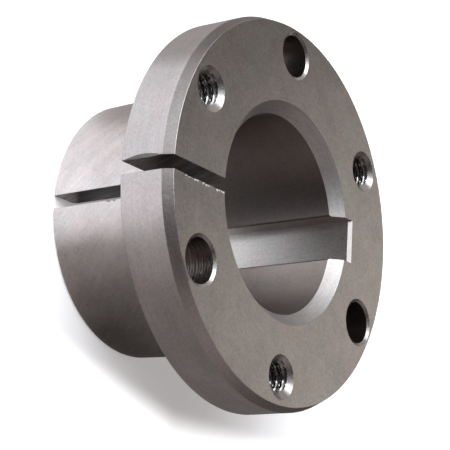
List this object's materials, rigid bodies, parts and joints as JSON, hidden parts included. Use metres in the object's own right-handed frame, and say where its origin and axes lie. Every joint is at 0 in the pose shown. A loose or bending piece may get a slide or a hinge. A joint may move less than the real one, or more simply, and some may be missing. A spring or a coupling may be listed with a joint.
{
  "type": "quick disconnect bushing",
  "caption": "Flanged split taper bushing with a keyed bore, clearance holes and tapped jacking holes, for clamping a hub to a shaft.",
  "frame": {"origin": "on the bore axis, in the plane of the small end that the bushing stands on", "axes": "+Z along the bore from the small end to the flange face, +X from the axis through the middle of the keyway; the saw cut is on -X"},
  "size_m": [0.0682, 0.0682, 0.0333],
  "materials": {
    "machined_steel": "turned and faced bare steel, satin, with fine tool marks"
  },
  "bodies": {
    "root": {"bushing": "machined_steel"}
  },
  "joints": []
}
